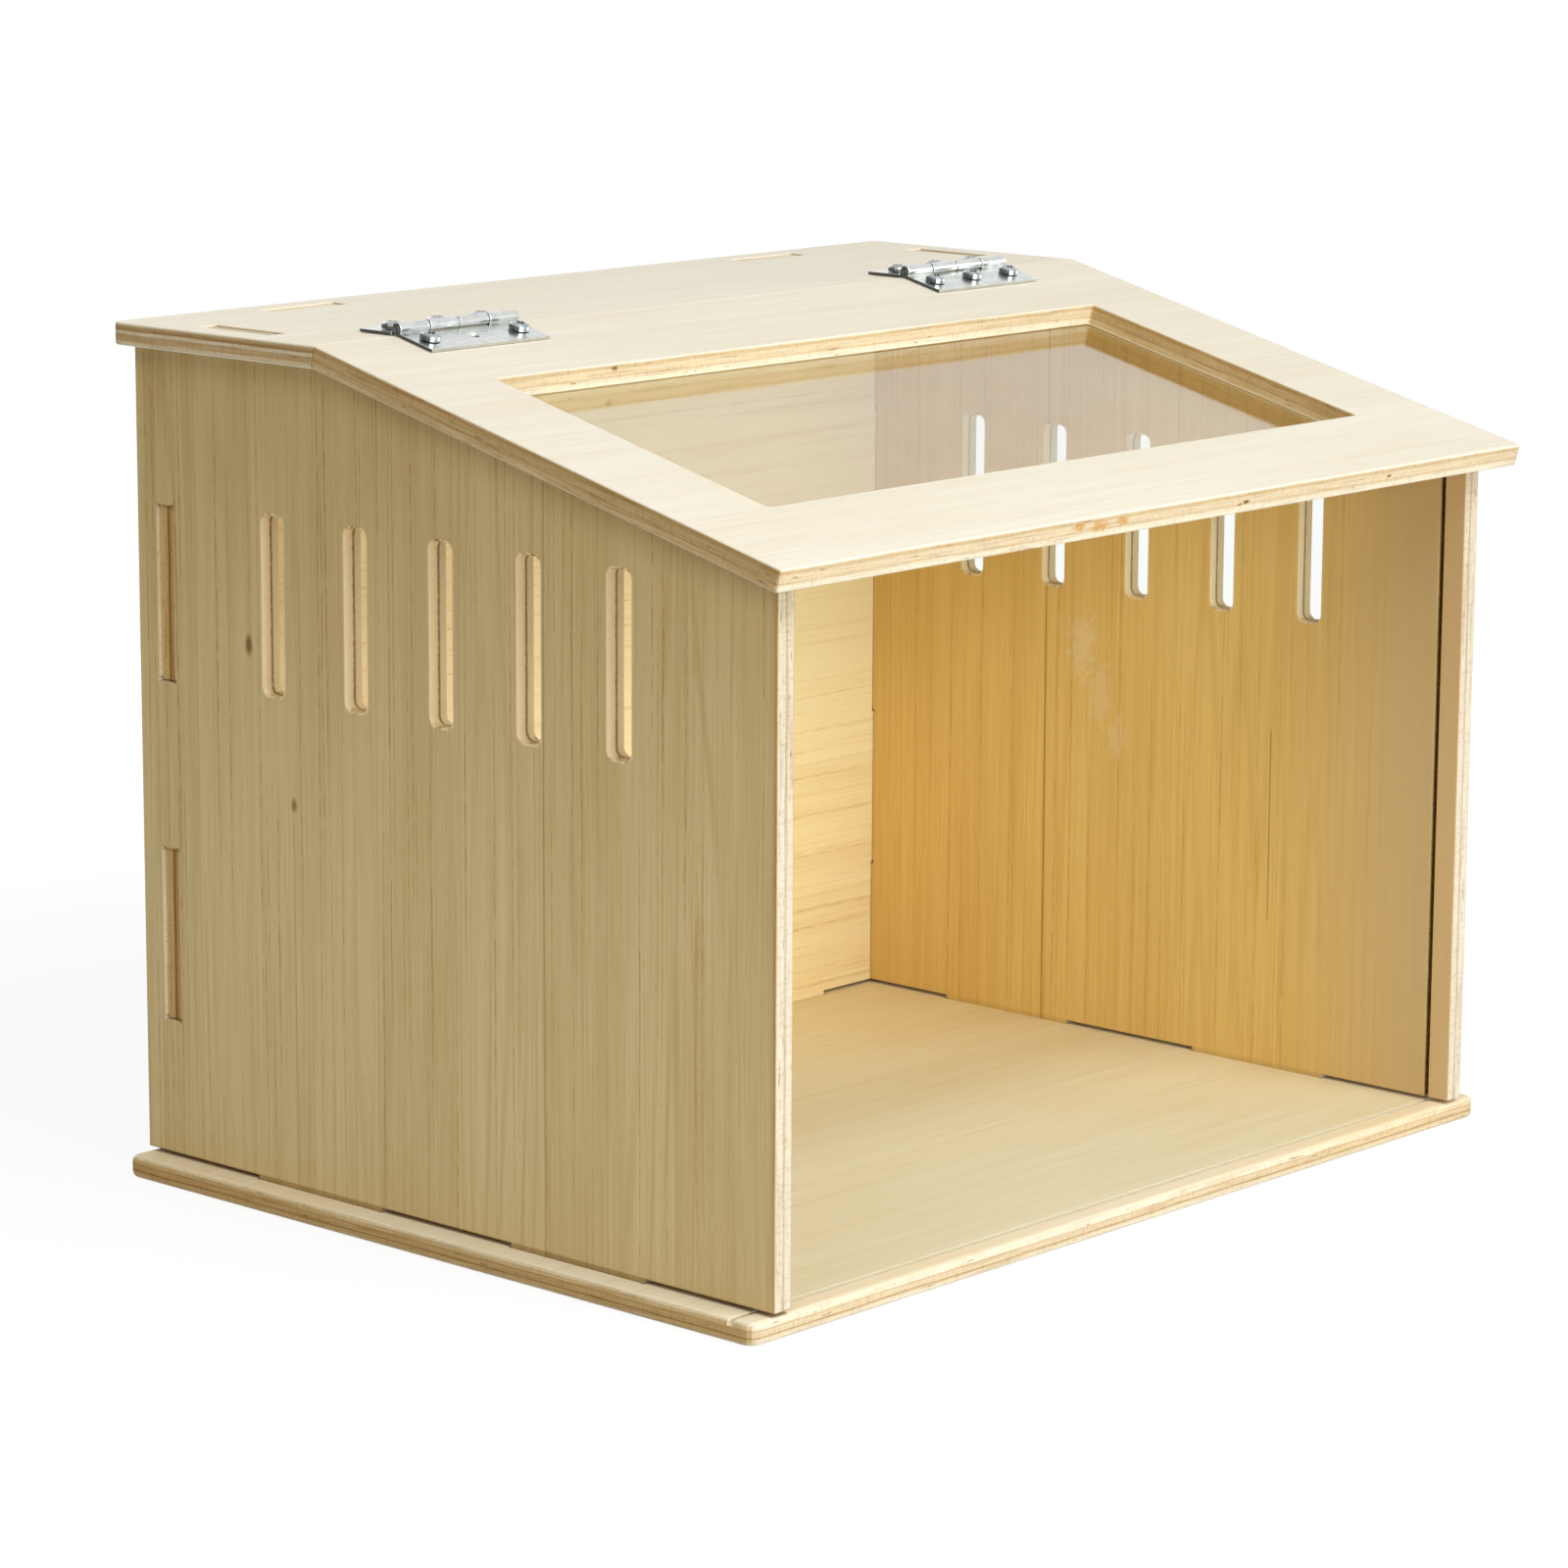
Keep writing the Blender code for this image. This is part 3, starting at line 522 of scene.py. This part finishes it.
# Screws: zinc-plated pan heads with a cross drive, driven through the leaves' holes into the plywood. The
# left lid leaf's middle hole is left empty.
SCREW_ARRIS = 0.00015
SCREW_ZINC = (tone(196, 201, 202), tone(152, 159, 162))
screw_zinc = zinc_plate("screw_zinc", *SCREW_ZINC)
screw_nodes = [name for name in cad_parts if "_screw_" in name]
for name in screw_nodes:
    dress(name, screw_zinc, SCREW_ARRIS)

# Floor and backdrop: white all round for the camera. The floor is a sheet of paper that keeps a faint shadow
# of the box.
FLOOR_REACH = 1.1
PAPER = (0.72, 0.72, 0.71, 1.0)
SHADOW_SHARE = 0.2
SHADOW_REACH = (0.5, 1.0)
GLOW = 1.1
AMBIENT = 0.25
WHITE = (1.0, 1.0, 1.0, 1.0)


def backdrop_share(place):
    """1 where the camera, a reflection or a clear sheet looks at the backdrop, and 0 where it lights the box."""
    looks = [place.node("ShaderNodeLightPath", {}, {}, f"Is {kind} Ray") for kind in ("Camera", "Glossy", "Transmission")]
    return looks[0].at_least(looks[1]).at_least(looks[2])


corners = [(-FLOOR_REACH, -FLOOR_REACH, 0), (FLOOR_REACH, -FLOOR_REACH, 0)]
corners += [(FLOOR_REACH, FLOOR_REACH, 0), (-FLOOR_REACH, FLOOR_REACH, 0)]
floor_mesh = bpy.data.meshes.new("floor")
floor_mesh.from_pydata(corners, [], [(0, 1, 2, 3)])
floor = bpy.data.objects.new("floor", floor_mesh)
bpy.context.scene.collection.objects.link(floor)

paper, place = new_material("paper")
lit = place.node("ShaderNodeBsdfDiffuse", {}, {"Color": PAPER})
glow = place.node("ShaderNodeEmission", {}, {"Color": WHITE, "Strength": GLOW})
x, y, z = place.parts()
near = 1 - ((x * x + y * y) ** 0.5).rise(*SHADOW_REACH)
share = backdrop_share(place) * (1 - near * SHADOW_SHARE)
sheet = place.node("ShaderNodeMixShader", {}, {0: share, 1: lit, 2: glow})
place.node("ShaderNodeOutputMaterial", {}, {"Surface": sheet})
floor_mesh.materials.append(paper)

world = bpy.data.worlds.new("studio")
bpy.context.scene.world = world
world.use_nodes = True
world.node_tree.nodes.clear()
sky = Shade(world.node_tree, None)
ambient = sky.node("ShaderNodeBackground", {}, {"Color": WHITE, "Strength": AMBIENT})
backdrop = sky.node("ShaderNodeBackground", {}, {"Color": WHITE, "Strength": 1.0})
room = sky.node("ShaderNodeMixShader", {}, {0: backdrop_share(sky), 1: ambient, 2: backdrop})
sky.node("ShaderNodeOutputWorld", {}, {"Surface": room})

# Lamps: a wide soft box in front that shines into the box, one high in front, a weak one at the left, and a
# wide one at the right and behind that shows in the window and on the hinges.
LAMP_AIM = Vector((0.0, 0.0, 0.17))


def soft_box(name, place, width, height, power):
    lamp = bpy.data.lights.new(name, "AREA")
    lamp.shape = "RECTANGLE"
    lamp.size = width
    lamp.size_y = height
    lamp.energy = power
    box = bpy.data.objects.new(name, lamp)
    box.location = place
    box.rotation_euler = (LAMP_AIM - Vector(place)).to_track_quat("-Z", "Y").to_euler()
    bpy.context.scene.collection.objects.link(box)


soft_box("front_lamp", (-0.42, -2.35, 0.55), 2.2, 1.3, 34.5)
soft_box("high_lamp", (0.0, -1.5, 1.95), 1.4, 1.0, 31.0)
soft_box("left_lamp", (-1.5, -0.3, 1.5), 1.2, 1.0, 7.8)
soft_box("right_lamp", (1.9, -0.9, 0.6), 1.2, 0.9, 6.0)
soft_box("back_lamp", (0.5, 2.2, 1.2), 2.0, 1.2, 8.0)

# Camera: at the left front corner, a little above the lid.
LENS_PIXELS = 5531.5
IMAGE_PIXELS = 1600
SENSOR = 36.0
YAW = radians(47.826)
PITCH = radians(11.365)
ROLL = radians(0.289)
EYE = Vector((-1.614951, -1.437113, 0.587586))

ahead = Vector((sin(YAW) * cos(PITCH), cos(YAW) * cos(PITCH), -sin(PITCH)))
right = Vector((cos(YAW), -sin(YAW), 0.0))
up = right.cross(ahead)
level_right = right * cos(ROLL) + up * sin(ROLL)
level_up = up * cos(ROLL) - right * sin(ROLL)
camera_data = bpy.data.cameras.new("camera")
camera_data.sensor_width = SENSOR
camera_data.lens = LENS_PIXELS / IMAGE_PIXELS * SENSOR
camera = bpy.data.objects.new("camera", camera_data)
camera.matrix_world = Matrix.Translation(EYE) @ Matrix((level_right, level_up, -ahead)).transposed().to_4x4()
bpy.context.scene.collection.objects.link(camera)
bpy.context.scene.camera = camera
bpy.context.scene.view_settings.view_transform = "Standard"
